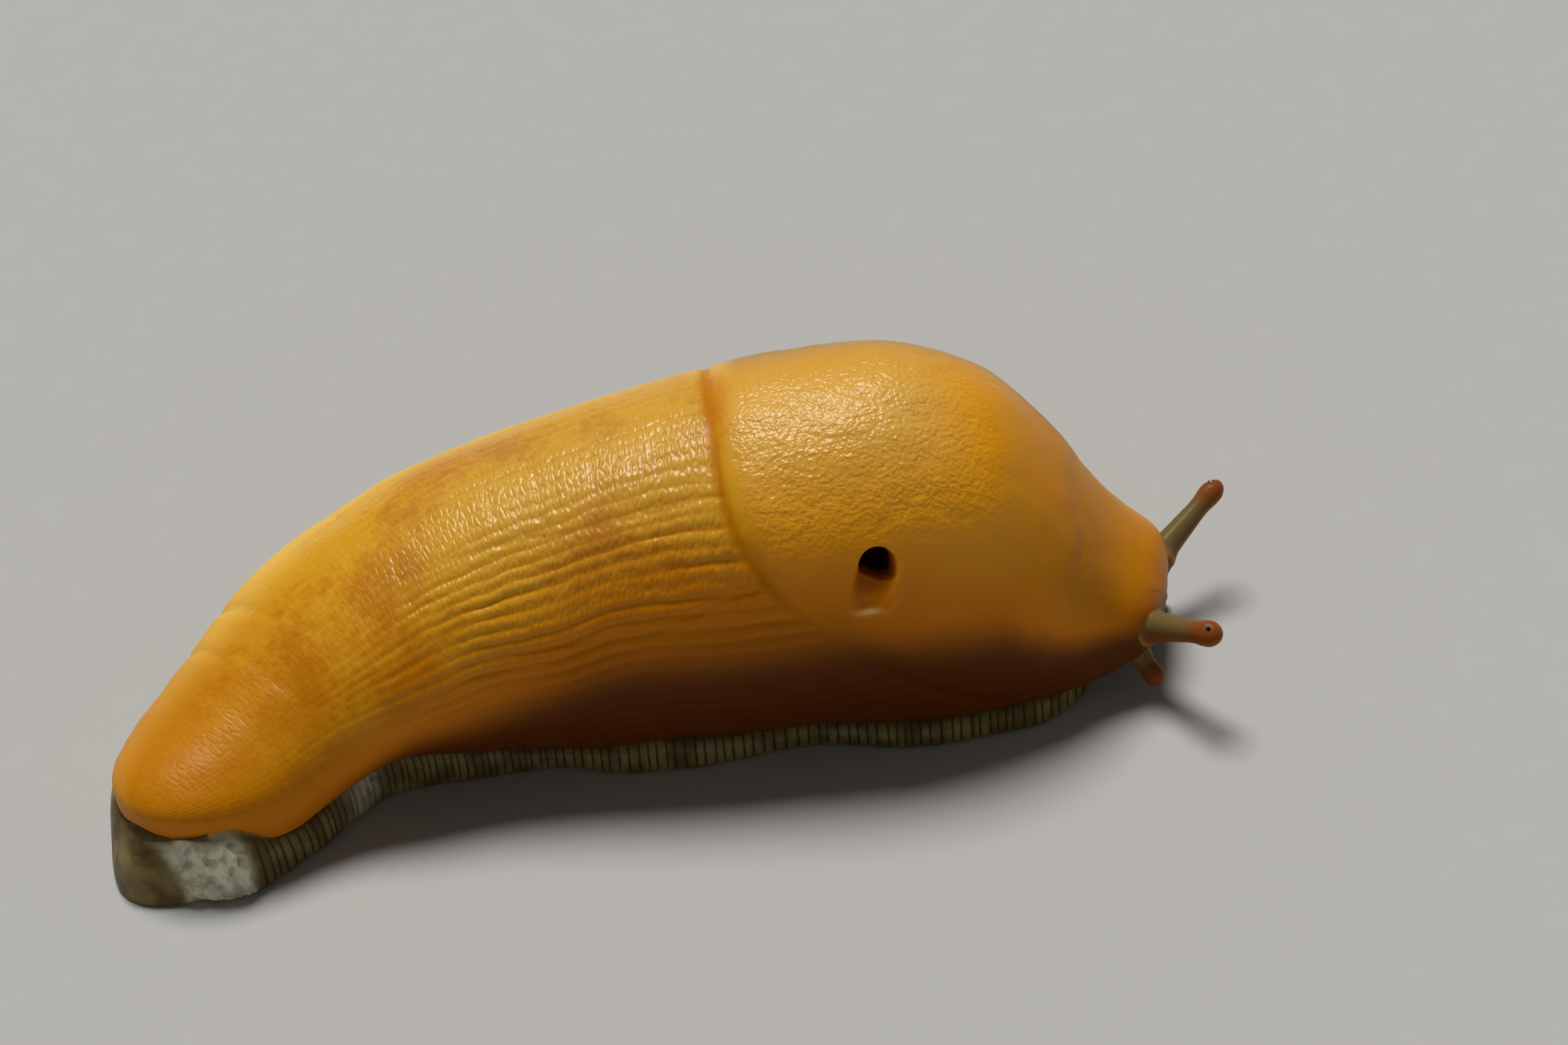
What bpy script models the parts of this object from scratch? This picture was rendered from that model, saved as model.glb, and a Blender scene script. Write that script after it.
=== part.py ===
"""A banana slug as a still, life-size model. It crawls on a level floor with its tail swung to its right.

The spine is a curve in plan. Distances along it start at the tail's end and are in millimetres, as all
sizes here are, and MM turns them into Blender's metres. +X runs the way the middle of the body heads,
the slug's right side faces -Y, and the origin is on the floor under the middle of the sole.
"""

from math import cos, pi, radians, sin

import bmesh
import bpy
import numpy as np
from mathutils import Matrix, Vector

MM = 0.001
GAP = 0.3  # left between neighbouring pieces

# Spine
TAIL_END = -0.6
SNOUT = 103.2
MIDDLE = 56.0  # where the spine crosses the origin
TAIL_TURN = 46.0  # degrees that the tail swings to the right
TAIL_STRAIGHT = 4.0  # the bend runs from here
TAIL_BEND_END = 53.0
HEAD_TURN = -6.0
NECK = 64.0  # the head's turn runs from here
NECK_END = 98.0
SNOUT_TURN = -8.0  # the snout turns further
SNOUT_TURN_START = 92.0
SNOUT_TURN_END = 104.0

# Yellow body, as (distance along the spine, size there)
HALF_WIDTH = ((0, 8.3), (6, 8.8), (14, 10.5), (24, 13.4), (36, 15.0), (50, 16.0), (64, 16.4),
              (76, 15.6), (86, 13.4), (92, 11.2), (97.5, 8.7), (100.5, 7.6), (103, 7.2))
BACK_HEIGHT = ((0, 12.2), (6, 12.4), (14, 15.1), (24, 20.3), (36, 25.4), (50, 29.6), (64, 32.4),
               (76, 33.4), (86, 30.4), (92, 24.8), (97.5, 16.2), (100.5, 13.2), (103, 12.2))
GROOVE_HALF = ((0, 6.8), (6, 8.3), (13, 8.8), (18, 8.4), (23, 7.9), (30, 9.3), (35, 10.2), (44, 10.9), (52, 13.1),
               (57, 12.9), (68, 11.8), (78, 13.2), (90, 11.4), (98, 8.4), (103, 6.2))
GROOVE_HEIGHT = ((0, 5.9), (3, 5.3), (7, 4.2), (11, 3.7), (14, 4.2), (23, 5.2), (30, 4.4), (38, 3.4), (45, 2.8),
                 (51, 3.7), (55, 3.8), (60, 3.3), (70, 2.9), (92, 2.9), (98, 3.5), (103, 4.8))
WIDEST = 0.42  # height of the widest line, as a share of the way from the groove to the back
TAIL_ROUNDING = 10.0
SNOUT_ROUNDING = 3.6
SNOUT_BLUNTNESS = 2.6
UNDERSIDE_BLUNTNESS = 0.4  # the ends round up less below than above
RIDGE_HEIGHT = 0.3
RIDGE_PITCH = 2.4

# Foot
FOOT_REAR = -3.2
FOOT_FRONT = 97.5
FOOT_HALF = ((-3, 6.0), (0.3, 7.4), (3, 8.8), (7, 9.6), (13, 9.7), (18, 9.3), (23, 8.8), (30, 10.2), (35, 11.1),
             (44, 11.8), (52, 14.0), (56, 14.0), (68, 12.6), (78, 14.1), (90, 12.3), (98, 10.4))
FOOT_REAR_ROUNDING = 10.0
FOOT_FRONT_ROUNDING = 9.0
FOOT_END_ROUNDING = 4.0  # of its top
SHOULDER = ((0, 0.12), (8, 0.2), (18, 0.4))  # height of the fringe's outermost line, as a share of its height
TUCK = 0.8  # how far the fringe draws in below that line
FRINGE_PITCH = 2.2
FRINGE_DEPTH = 0.3

# Where the body and the foot are parted
TAIL_FROM_TORSO = 26.0
TORSO_FROM_HEAD = 89.5
FOOT_CUTS = (26.0, 62.0)

# Mantle: the edges' distance along the spine, by degrees round the body from the top
MANTLE_REAR = ((0, 61.6), (40, 62.2), (66, 65.0), (90, 71.5), (116, 77.0), (152, 87.0))
MANTLE_FRONT = ((0, 94.4), (14, 94.5), (36, 95.2), (60, 94.2), (90, 92.6), (120, 91.2), (152, 89.6))
MANTLE_SWEEP = 152.0
MANTLE_RISE = 0.45
MANTLE_FRONT_RISE = 0.15
MANTLE_LIP = 0.8
MANTLE_DEPTH = 3.6
MANTLE_EDGE_DEPTH = 2.2

# Breathing hole, in the mantle's right side
HOLE_ALONG = 75.2
HOLE_ROUND = 67.0
HOLE_HALF_SIZES = (1.5, 1.6, 2.6)
FUNNEL_DOWN = 1.3  # from the hole to the middle of the hollow round it
FUNNEL_HALF_SIZES = (2.1, 3.1, 0.9)

# Feelers. Each direction is in degrees outwards from the head's heading and up.
UPPER_BASE = (102.75, 6.2, 7.5)  # along the spine, out and up
UPPER_DIRECTION = {"left": (52.0, 24.0), "right": (37.0, 22.0)}
UPPER_COLLAR = ((-4.2, 2.5), (-1.6, 2.1), (-0.4, 1.6), (0.1, 1.42))
UPPER_PROFILE = ((0.4, 1.36), (2.4, 1.24), (4.6, 1.08), (5.4, 1.1), (6.2, 1.22), (6.9, 1.24), (7.5, 1.06),
                 (7.9, 0.76), (8.15, 0.38))
UPPER_GIRTH = {"left": 0.9, "right": 1.0}
LOWER_BASE = (100.5, 5.4, 4.0)
LOWER_DIRECTION = {"left": (20.0, -60.0), "right": (38.0, -38.0)}
LOWER_COLLAR = ((-3.0, 1.8), (0.0, 1.5), (1.2, 1.05))
LOWER_PROFILE = ((1.5, 0.95), (2.0, 0.9), (2.5, 0.98), (3.1, 1.0), (3.6, 0.82), (3.9, 0.45))
FEELER_SIDES = 14
EYE_RADIUS = 0.36
EYE_GAP = 0.12
EYE_ALONG = 7.36  # along the feeler
EYE_OUT = 0.35  # from the feeler's axis, away from the other feeler
EYE_UP = 0.6

# Lips, under the snout
LIP_ALONG = 100.9
LIP_OUT = 1.6
LIP_HEIGHT = 5.1
LIP_HALF_SIZES = (2.1, 2.0, 1.6)
MOUTH_WIDTH = 0.5
MOUTH_TOP = 6.2

YELLOW = (0.72, 0.36, 0.02, 1)
MANTLE_YELLOW = (0.74, 0.40, 0.03, 1)
OLIVE = (0.13, 0.11, 0.05, 1)
FEELER_OLIVE = (0.22, 0.17, 0.07, 1)
EYE_BLACK = (0.01, 0.01, 0.01, 1)


# ---------------------------------------------------------------- shape of the body


def smooth(start, end, x):
    t = np.clip((x - start) / (end - start), 0, 1)
    return t * t * (3 - 2 * t)


def along(points, x):
    """A smooth curve through (distance, size) points that never runs past them."""
    xs, ys = np.array(points, float).T
    steps = np.diff(xs)
    rises = np.diff(ys) / steps
    slopes = np.concatenate([rises[:1], (rises[1:] + rises[:-1]) / 2, rises[-1:]])
    for i, (before, after) in enumerate(zip(rises[:-1], rises[1:]), 1):
        limit = 3 * min(abs(before), abs(after)) if before * after > 0 else 0
        slopes[i] = np.clip(slopes[i], -limit, limit)
    x = np.clip(x, xs[0], xs[-1])
    i = np.clip(np.searchsorted(xs, x, side="right") - 1, 0, len(steps) - 1)
    t = (x - xs[i]) / steps[i]
    start = ys[i] * (1 + 2 * t) * (1 - t) ** 2 + steps[i] * slopes[i] * t * (1 - t) ** 2
    return start + ys[i + 1] * t * t * (3 - 2 * t) + steps[i] * slopes[i + 1] * t * t * (t - 1)


def heading(s):
    """The spine's direction in plan, in radians from +X."""
    tail = TAIL_TURN * (1 - smooth(TAIL_STRAIGHT, TAIL_BEND_END, s))
    snout = SNOUT_TURN * smooth(SNOUT_TURN_START, SNOUT_TURN_END, s)
    return np.radians(tail + HEAD_TURN * smooth(NECK, NECK_END, s) + snout)


SPINE_S = np.linspace(TAIL_END - 10, SNOUT + 10, 1200)
SPINE_STEP = SPINE_S[1] - SPINE_S[0]
SPINE_X = np.cumsum(np.cos(heading(SPINE_S - SPINE_STEP / 2))) * SPINE_STEP
SPINE_Y = np.cumsum(np.sin(heading(SPINE_S - SPINE_STEP / 2))) * SPINE_STEP
SPINE_X -= np.interp(MIDDLE, SPINE_S, SPINE_X)
SPINE_Y -= np.interp(MIDDLE, SPINE_S, SPINE_Y)


def place(s, out, height):
    """A point by its distance along the spine, its distance to the slug's right and its height."""
    turn = heading(s)
    x = np.interp(s, SPINE_S, SPINE_X) + out * np.sin(turn)
    y = np.interp(s, SPINE_S, SPINE_Y) - out * np.cos(turn)
    return Vector((float(x), float(y), float(height)))


def rounding(s, rear, front, rear_length, front_length, bluntness):
    """1 along the body, falling to 0 in a rounded end at each end."""
    tail = np.clip((rear + rear_length - s) / rear_length, 0, 1)
    head = np.clip((s - front + front_length) / front_length, 0, 1)
    return (1 - tail**2) ** 0.5 * (1 - head**bluntness) ** (1 / bluntness)


def body_rounding(s):
    return rounding(s, TAIL_END, SNOUT, TAIL_ROUNDING, SNOUT_ROUNDING, SNOUT_BLUNTNESS)


def body_point(s, degrees, grow=0.0):
    """(out, height) on the yellow skin. Degrees run round from the top: 90 is the flank, 180 the groove."""
    low = along(GROOVE_HEIGHT, s)
    middle = low + WIDEST * (along(BACK_HEIGHT, s) - low)
    k = body_rounding(s)
    half = along(HALF_WIDTH, s) * k + grow
    groove = along(GROOVE_HALF, s) * k + grow
    up = (along(BACK_HEIGHT, s) - middle) * k + grow
    down = (middle - low) * k**UNDERSIDE_BLUNTNESS + grow
    angle = abs(degrees) * pi / 180
    if angle <= pi / 2:
        out, height = half * sin(angle), middle + up * cos(angle)
    else:
        out = groove + (half - groove) * cos(angle - pi / 2)
        height = middle - down * sin(angle - pi / 2)
    return (out if degrees >= 0 else -out), height


def evenly(points, count):
    """Count + 1 points spaced evenly along a run of points."""
    points = np.array(points)
    lengths = np.concatenate([[0], np.cumsum(np.linalg.norm(np.diff(points, axis=0), axis=1))])
    wanted = np.linspace(0, lengths[-1], count + 1)
    return np.stack([np.interp(wanted, lengths, points[:, k]) for k in (0, 1)], axis=1)


def body_ring(s, count, ridge):
    """The skin's cross-section from the left groove over the back to the right groove."""
    outline = evenly([body_point(s, degrees) for degrees in range(-180, 181, 3)], count)
    middle = outline[0, 1] + WIDEST * (outline[:, 1].max() - outline[0, 1])
    ring = []
    for i, (out, height) in enumerate(outline):
        lift = ridge * (1 if i % 2 else 0) if 0 < i < count else 0
        away = Vector((out, height - middle)).normalized() * lift
        ring.append(place(s, out + away.x, height + away.y))
    return ring


# ---------------------------------------------------------------- Blender helpers


def clear_scene():
    for obj in list(bpy.data.objects):
        bpy.data.objects.remove(obj)


def material(name, colour, roughness):
    made = bpy.data.materials.get(name) or bpy.data.materials.new(name)
    made.use_nodes = True
    shader = made.node_tree.nodes["Principled BSDF"]
    shader.inputs["Base Color"].default_value = colour
    shader.inputs["Roughness"].default_value = roughness
    shader.inputs["Metallic"].default_value = 0.0
    return made


def finish_mesh(name, bm, mat=None):
    """Makes an object of a bmesh in millimetres, with its faces pointing out."""
    bmesh.ops.recalc_face_normals(bm, faces=bm.faces)
    if bm.calc_volume(signed=True) < 0:
        bmesh.ops.reverse_faces(bm, faces=bm.faces)
    bmesh.ops.scale(bm, vec=(MM, MM, MM), verts=bm.verts)
    mesh = bpy.data.meshes.new(name)
    bm.to_mesh(mesh)
    bm.free()
    obj = bpy.data.objects.new(name, mesh)
    bpy.context.scene.collection.objects.link(obj)
    if mat:
        mesh.materials.append(mat)
    return obj


def loft(name, rings, mat=None):
    """A closed solid through closed rings with equal numbers of points, capped at both ends."""
    bm = bmesh.new()
    rows = [[bm.verts.new(point) for point in ring] for ring in rings]
    for row, after in zip(rows[:-1], rows[1:]):
        for i in range(len(row)):
            j = (i + 1) % len(row)
            bm.faces.new((row[i], row[j], after[j], after[i]))
    bm.faces.new(rows[0])
    bm.faces.new(rows[-1])
    bmesh.ops.triangulate(bm, faces=bm.faces)
    return finish_mesh(name, bm, mat)


def ball(name, centre, half_sizes, axes, mat=None, segments=16, rings=10):
    """An ellipsoid with its own axes, given as three unit vectors."""
    bm = bmesh.new()
    bmesh.ops.create_uvsphere(bm, u_segments=segments, v_segments=rings, radius=1)
    turn = Matrix(axes).transposed().to_4x4()
    stretch = Matrix.Diagonal((*half_sizes, 1))
    bmesh.ops.transform(bm, matrix=Matrix.Translation(centre) @ turn @ stretch, verts=bm.verts)
    return finish_mesh(name, bm, mat)


def boolean(obj, others, operation, solver="EXACT"):
    """Joins other solids to obj or cuts them from it, applies that and removes them."""
    group = bpy.data.collections.new("tools")
    bpy.context.scene.collection.children.link(group)
    for other in others:
        bpy.context.scene.collection.objects.unlink(other)
        group.objects.link(other)
    modifier = obj.modifiers.new(operation.lower(), "BOOLEAN")
    modifier.operation = operation
    modifier.operand_type = "COLLECTION"
    modifier.collection = group
    modifier.solver = solver
    bpy.context.view_layer.objects.active = obj
    bpy.ops.object.modifier_apply(modifier=modifier.name)
    for other in others:
        bpy.data.objects.remove(other)
    bpy.data.collections.remove(group)
    keep_largest(obj)


def keep_largest(obj):
    """Drops all but the largest closed surface."""
    bm = bmesh.new()
    bm.from_mesh(obj.data)
    left, shells = set(bm.verts), []
    while left:
        shell, edge = set(), [left.pop()]
        while edge:
            vert = edge.pop()
            shell.add(vert)
            near = {link.other_vert(vert) for link in vert.link_edges} & left
            left -= near
            edge.extend(near)
        shells.append(shell)
    shells.sort(key=len)
    for shell in shells[:-1]:
        bmesh.ops.delete(bm, geom=list(shell), context="VERTS")
    bm.to_mesh(obj.data)
    bm.free()


def shade(obj):
    obj.data.shade_smooth()
    obj.data.set_sharp_from_angle(angle=0.8)


def steps(start, end, pitch):
    return np.linspace(start, end, max(2, round(abs(end - start) / pitch) + 1))


# ---------------------------------------------------------------- trunk: tail, torso and head


def trunk(name, start, end, mat, ridge, pitch, count):
    """A length of the yellow body. Its rings close up at the tail's end and the snout."""
    rings = [body_ring(s, count, ridge) for s in steps(start, end, pitch)]
    return loft(name, rings, mat)


def around_count():
    """Points round the body that give two for each ridge at its fullest."""
    full = [body_point(MIDDLE, degrees) for degrees in range(-180, 181, 3)]
    length = np.linalg.norm(np.diff(np.array(full), axis=0), axis=1).sum()
    return 2 * round(length / RIDGE_PITCH)


# ---------------------------------------------------------------- mantle


def mantle_slice(degrees, margin):
    """One closed loop across the mantle, from its rear edge to its front edge and back under the skin."""
    rear = along(MANTLE_REAR, abs(degrees)) - margin
    front = along(MANTLE_FRONT, abs(degrees)) + margin
    depth = along(((0, MANTLE_DEPTH), (MANTLE_SWEEP, MANTLE_EDGE_DEPTH)), abs(degrees)) + margin
    lip = min(MANTLE_LIP, (front - rear) / 4)
    across = np.linspace(rear + lip, front - lip, 12)
    rises = np.linspace(MANTLE_RISE, MANTLE_FRONT_RISE, len(across)) + (2 if margin else 0)
    outer = [(rear, -0.4), (rear, rises[0] - 0.45), (rear + lip * 0.35, rises[0] - 0.12)]
    outer += list(zip(across, rises))
    outer += [(front - lip * 0.35, rises[-1] - 0.05), (front, rises[-1] - 0.18), (front, -0.4)]
    inner = [(s, -depth) for s in np.linspace(front - 0.5 * lip, rear + 0.5 * lip, 12)]
    loop = []
    for s, grow in outer + inner:
        out, height = body_point(s, degrees, grow)
        loop.append(place(s, out, height))
    return loop


def mantle_solid(name, margin, mat=None):
    """The mantle, or with a margin the pocket that it lies in."""
    sweep = MANTLE_SWEEP + (2 if margin else 0)
    slices = [mantle_slice(degrees, margin) for degrees in np.linspace(-sweep, sweep, 44)]
    return loft(name, slices, mat)


def skin_frame(s, degrees):
    """A point on the skin with unit vectors along the body, round it and outwards."""
    out, height = body_point(s, degrees)
    point = place(s, out, height)
    ahead = (place(s + 0.5, *body_point(s + 0.5, degrees)) - point).normalized()
    down = (place(s, *body_point(s, degrees + 2)) - point).normalized()
    outward = down.cross(ahead).normalized()
    if degrees < 0:
        outward.negate()
    return point, (outward.cross(down).normalized(), down, outward)


def build_mantle():
    mantle = mantle_solid("mantle", 0, material("mantle skin", MANTLE_YELLOW, 0.35))
    centre, axes = skin_frame(HOLE_ALONG, HOLE_ROUND)
    hole = ball("hole", centre, HOLE_HALF_SIZES, axes)
    funnel = ball("funnel", centre + axes[1] * FUNNEL_DOWN + axes[2] * MANTLE_RISE, FUNNEL_HALF_SIZES, axes)
    boolean(mantle, [hole, funnel], "DIFFERENCE")
    return mantle


# ---------------------------------------------------------------- head


def side_sign(side):
    return 1 if side == "right" else -1


def head_heading():
    return float(heading(SNOUT))


def feeler_frame(side, base, direction):
    """Where a feeler leaves the head, with unit vectors along it, sideways and up from it."""
    sign = side_sign(side)
    distance, out, height = base
    spread, lift = direction[side]
    turn = head_heading() - sign * radians(spread)
    rise = radians(lift)
    ahead = Vector((cos(turn) * cos(rise), sin(turn) * cos(rise), sin(rise)))
    across = ahead.cross(Vector((0, 0, 1))).normalized()
    return place(distance, sign * out, height), ahead, across, across.cross(ahead)


def upper_frame(side):
    return feeler_frame(side, UPPER_BASE, UPPER_DIRECTION)


def lower_frame(side):
    return feeler_frame(side, LOWER_BASE, LOWER_DIRECTION)


def turned(name, frame, profile, mat=None, girth=1.0):
    """A solid of round sections along a feeler's axis, as (distance, radius), made thinner by its girth."""
    base, ahead, across, up = frame
    angles = [2 * pi * i / FEELER_SIDES for i in range(FEELER_SIDES)]
    rings = []
    for distance, radius in profile:
        middle = base + ahead * distance
        rings.append([middle + (across * cos(a) + up * sin(a)) * radius * girth for a in angles])
    return loft(name, rings, mat)


def level_axes():
    turn = head_heading()
    ahead = Vector((cos(turn), sin(turn), 0))
    return ahead, Vector((-sin(turn), cos(turn), 0)), Vector((0, 0, 1))


def build_head():
    head = trunk("head", TORSO_FROM_HEAD + GAP / 2, SNOUT - 0.02, material("head skin", YELLOW, 0.35), 0, 1.2, 40)
    pieces = []
    for side in ("left", "right"):
        pieces.append(turned("collar", upper_frame(side), UPPER_COLLAR, girth=UPPER_GIRTH[side]))
        pieces.append(turned("collar", lower_frame(side), LOWER_COLLAR))
        lip = place(LIP_ALONG, side_sign(side) * LIP_OUT, LIP_HEIGHT)
        pieces.append(ball("lip", lip, LIP_HALF_SIZES, level_axes()))
    boolean(head, pieces, "UNION")
    mouth = ball("mouth", place(LIP_ALONG + 2.2, 0, MOUTH_TOP - 2.4), (1.6, MOUTH_WIDTH / 2, 2.4), level_axes())
    boolean(head, [mouth], "DIFFERENCE")
    return head


def build_feelers():
    skin = material("feeler skin", FEELER_OLIVE, 0.3)
    black = material("eye", EYE_BLACK, 0.1)
    for side in ("left", "right"):
        base, ahead, across, up = upper_frame(side)
        feeler = turned("tentacle_upper_" + side, upper_frame(side), UPPER_PROFILE, skin, UPPER_GIRTH[side])
        off_axis = across * (side_sign(side) * EYE_OUT) + up * EYE_UP
        eye_centre = base + ahead * EYE_ALONG + off_axis * UPPER_GIRTH[side]
        axes = (ahead, across, up)
        socket = ball("socket", eye_centre, (EYE_RADIUS + EYE_GAP,) * 3, axes, segments=10, rings=6)
        boolean(feeler, [socket], "DIFFERENCE")
        ball("eye_" + side, eye_centre, (EYE_RADIUS,) * 3, axes, black, segments=10, rings=6)
        turned("tentacle_lower_" + side, lower_frame(side), LOWER_PROFILE, skin)


# ---------------------------------------------------------------- foot


def foot_ring(s, flute):
    """The foot's cross-section: a flat sole, a fluted and rounded fringe up to the groove and a level top."""
    k = rounding(s, FOOT_REAR, FOOT_FRONT, FOOT_REAR_ROUNDING, FOOT_FRONT_ROUNDING, 2.0)
    edge = along(FOOT_HALF, s) * k + flute
    body = body_rounding(np.clip(s, TAIL_END, SNOUT))
    groove = float(np.clip(along(GROOVE_HALF, s) * body - GAP, 0.2, 0.9 * edge))
    end = rounding(s, FOOT_REAR, FOOT_FRONT, FOOT_END_ROUNDING, FOOT_END_ROUNDING, 2.0)
    top = (along(GROOVE_HEIGHT, s) - GAP) * max(end, 0.05) ** 0.8
    shoulder = along(SHOULDER, s) * top
    right = [(edge - TUCK * k, 0)]
    for angle in (0.5, 0):
        right.append((edge - TUCK * k * (1 - cos(angle)), shoulder * (1 - sin(angle))))
    for angle in np.radians((60, 35, 15, 0)):
        right.append((groove + (edge - groove) * sin(angle) ** 0.8, shoulder + (top - shoulder) * cos(angle)))
    left = [(-out, height) for out, height in reversed(right)]
    return [place(s, out, height) for out, height in right + left]


def build_foot():
    olive = material("foot skin", OLIVE, 0.3)
    bounds = (FOOT_REAR + 0.05, *FOOT_CUTS, FOOT_FRONT - 0.05)
    for i, name in enumerate(("foot_rear", "foot_middle", "foot_front")):
        start = bounds[i] + (GAP / 2 if i else 0)
        end = bounds[i + 1] - (GAP / 2 if i < 2 else 0)
        stations = steps(start, end, FRINGE_PITCH / 2)
        rings = [foot_ring(s, FRINGE_DEPTH * (j % 2 - 0.5)) for j, s in enumerate(stations)]
        loft(name, rings, olive)


# ---------------------------------------------------------------- whole slug


def main():
    clear_scene()
    yellow = material("body skin", YELLOW, 0.35)
    count = around_count()
    trunk("tail", TAIL_END + 0.02, TAIL_FROM_TORSO - GAP / 2, yellow, RIDGE_HEIGHT, 2.4, count)
    torso = trunk("torso", TAIL_FROM_TORSO + GAP / 2, TORSO_FROM_HEAD - GAP / 2, yellow, RIDGE_HEIGHT, 2.6, count)
    head = build_head()
    build_mantle()
    for obj in (torso, head):
        boolean(obj, [mantle_solid("pocket", GAP)], "DIFFERENCE", "MANIFOLD")
    build_feelers()
    build_foot()
    for obj in bpy.data.objects:
        shade(obj)


main()
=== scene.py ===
"""The look of a life-size banana slug model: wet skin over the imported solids, its eyes and a plain studio.

Sizes at the top are in millimetres, as in the solids' own source, and MM turns them into metres. Distances
along the spine start at the tail's end. Degrees round the body start at the top of the back: 90 is the
flank, 180 the groove over the foot, and the slug's right side is positive.
"""

from math import cos, pi, radians, sin

import bpy
import numpy as np
from mathutils import Euler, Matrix, Vector, kdtree, noise


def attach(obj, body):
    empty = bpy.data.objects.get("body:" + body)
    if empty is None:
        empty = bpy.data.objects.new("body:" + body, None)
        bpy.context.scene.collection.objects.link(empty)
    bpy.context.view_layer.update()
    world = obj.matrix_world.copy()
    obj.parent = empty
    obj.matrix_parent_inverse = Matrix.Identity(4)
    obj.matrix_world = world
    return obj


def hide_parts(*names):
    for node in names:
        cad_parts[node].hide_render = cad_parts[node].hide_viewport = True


bl_info = {
    "name": "Banana slug model",
    "version": (1, 0, 0),
    "blender": (4, 5, 0),
    "location": "3D View > Sidebar > Slug",
    "description": "Wet skin, eyes and studio for a life-size banana slug model",
    "category": "Add Mesh",
}

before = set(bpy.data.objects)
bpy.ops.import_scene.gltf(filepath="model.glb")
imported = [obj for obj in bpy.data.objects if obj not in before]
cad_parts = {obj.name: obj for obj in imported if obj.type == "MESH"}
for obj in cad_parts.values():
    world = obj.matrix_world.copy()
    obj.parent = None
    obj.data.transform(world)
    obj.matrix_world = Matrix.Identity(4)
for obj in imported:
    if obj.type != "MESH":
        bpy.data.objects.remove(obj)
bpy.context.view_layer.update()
bpy.ops.object.select_all(action="DESELECT")

MM = 0.001

# Spine
TAIL_END = -0.6
SNOUT = 103.2
MIDDLE = 56.0  # where the spine crosses the origin
TAIL_TURN = 46.0  # degrees that the tail swings to the right
TAIL_STRAIGHT = 4.0
TAIL_BEND_END = 53.0
HEAD_TURN = -6.0
NECK = 64.0
NECK_END = 98.0
SNOUT_TURN = -8.0
SNOUT_TURN_START = 92.0
SNOUT_TURN_END = 104.0

# Yellow body, as (distance along the spine, size there)
HALF_WIDTH = ((0, 8.3), (6, 8.8), (14, 10.5), (24, 13.4), (36, 15.0), (50, 16.0), (64, 16.4),
              (76, 15.6), (86, 13.4), (92, 11.2), (97.5, 8.7), (100.5, 7.6), (103, 7.2))
BACK_HEIGHT = ((0, 12.2), (6, 12.4), (14, 15.1), (24, 20.3), (36, 25.4), (50, 29.6), (64, 32.4),
               (76, 33.4), (86, 30.4), (92, 24.8), (97.5, 16.2), (100.5, 13.2), (103, 12.2))
GROOVE_HALF = ((0, 6.8), (6, 8.3), (13, 8.8), (18, 8.4), (23, 7.9), (30, 9.3), (35, 10.2), (44, 10.9),
               (52, 13.1), (57, 12.9), (68, 11.8), (78, 13.2), (90, 11.4), (98, 8.4), (103, 6.2))
GROOVE_HEIGHT = ((0, 5.9), (3, 5.3), (7, 4.2), (11, 3.7), (14, 4.2), (23, 5.2), (30, 4.4), (38, 3.4),
                 (45, 2.8), (51, 3.7), (55, 3.8), (60, 3.3), (70, 2.9), (92, 2.9), (98, 3.5), (103, 4.8))
WIDEST = 0.42
TAIL_ROUNDING = 10.0
SNOUT_ROUNDING = 3.6
SNOUT_BLUNTNESS = 2.6
UNDERSIDE_BLUNTNESS = 0.4
DEGREE = 0.27  # round the middle of the body

# Foot
FOOT_REAR = -3.2
FOOT_FRONT = 97.5
FOOT_HALF = ((-3, 6.0), (0.3, 7.4), (3, 8.8), (7, 9.6), (13, 9.7), (18, 9.3), (23, 8.8), (30, 10.2),
             (35, 11.1), (44, 11.8), (52, 14.0), (56, 14.0), (68, 12.6), (78, 14.1), (90, 12.3), (98, 10.4))
FOOT_REAR_ROUNDING = 10.0
FOOT_FRONT_ROUNDING = 9.0
FOOT_END_ROUNDING = 4.0
SHOULDER = ((0, 0.12), (8, 0.2), (18, 0.4))
FRINGE_ROUNDNESS = ((0, 1.3), (9, 1.2), (20, 0.8))  # more slopes it evenly, less makes it bulge
FOLD_DEPTH = 0.8  # of the crumpled skin beside the tail's end
COLLAR = (1.3, 1.4)  # how far the foot swells out and up round the tail's end
TUCK = 0.8
GAP = 0.3  # between the foot and the yellow body, where they part at both ends

# Mantle: the edges' distance along the spine, by degrees round the body
MANTLE_REAR = ((0, 61.6), (40, 62.2), (66, 65.0), (90, 71.5), (116, 77.0), (152, 87.0))
MANTLE_FRONT = ((0, 94.4), (14, 94.5), (36, 95.2), (60, 94.2), (90, 92.6), (120, 91.2), (152, 89.6))
MANTLE_SWEEP = 152.0
MANTLE_RISE = 0.45
MANTLE_FRONT_RISE = 0.15

# Breathing hole, in the mantle's right side
HOLE_ALONG = 75.2
HOLE_ROUND = 67.0
HOLE_DEPTH = 2.6
HOLE_FINE = 5.0  # how far round its middle the skin is divided finely
HOLE_REACH = 10.0

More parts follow.
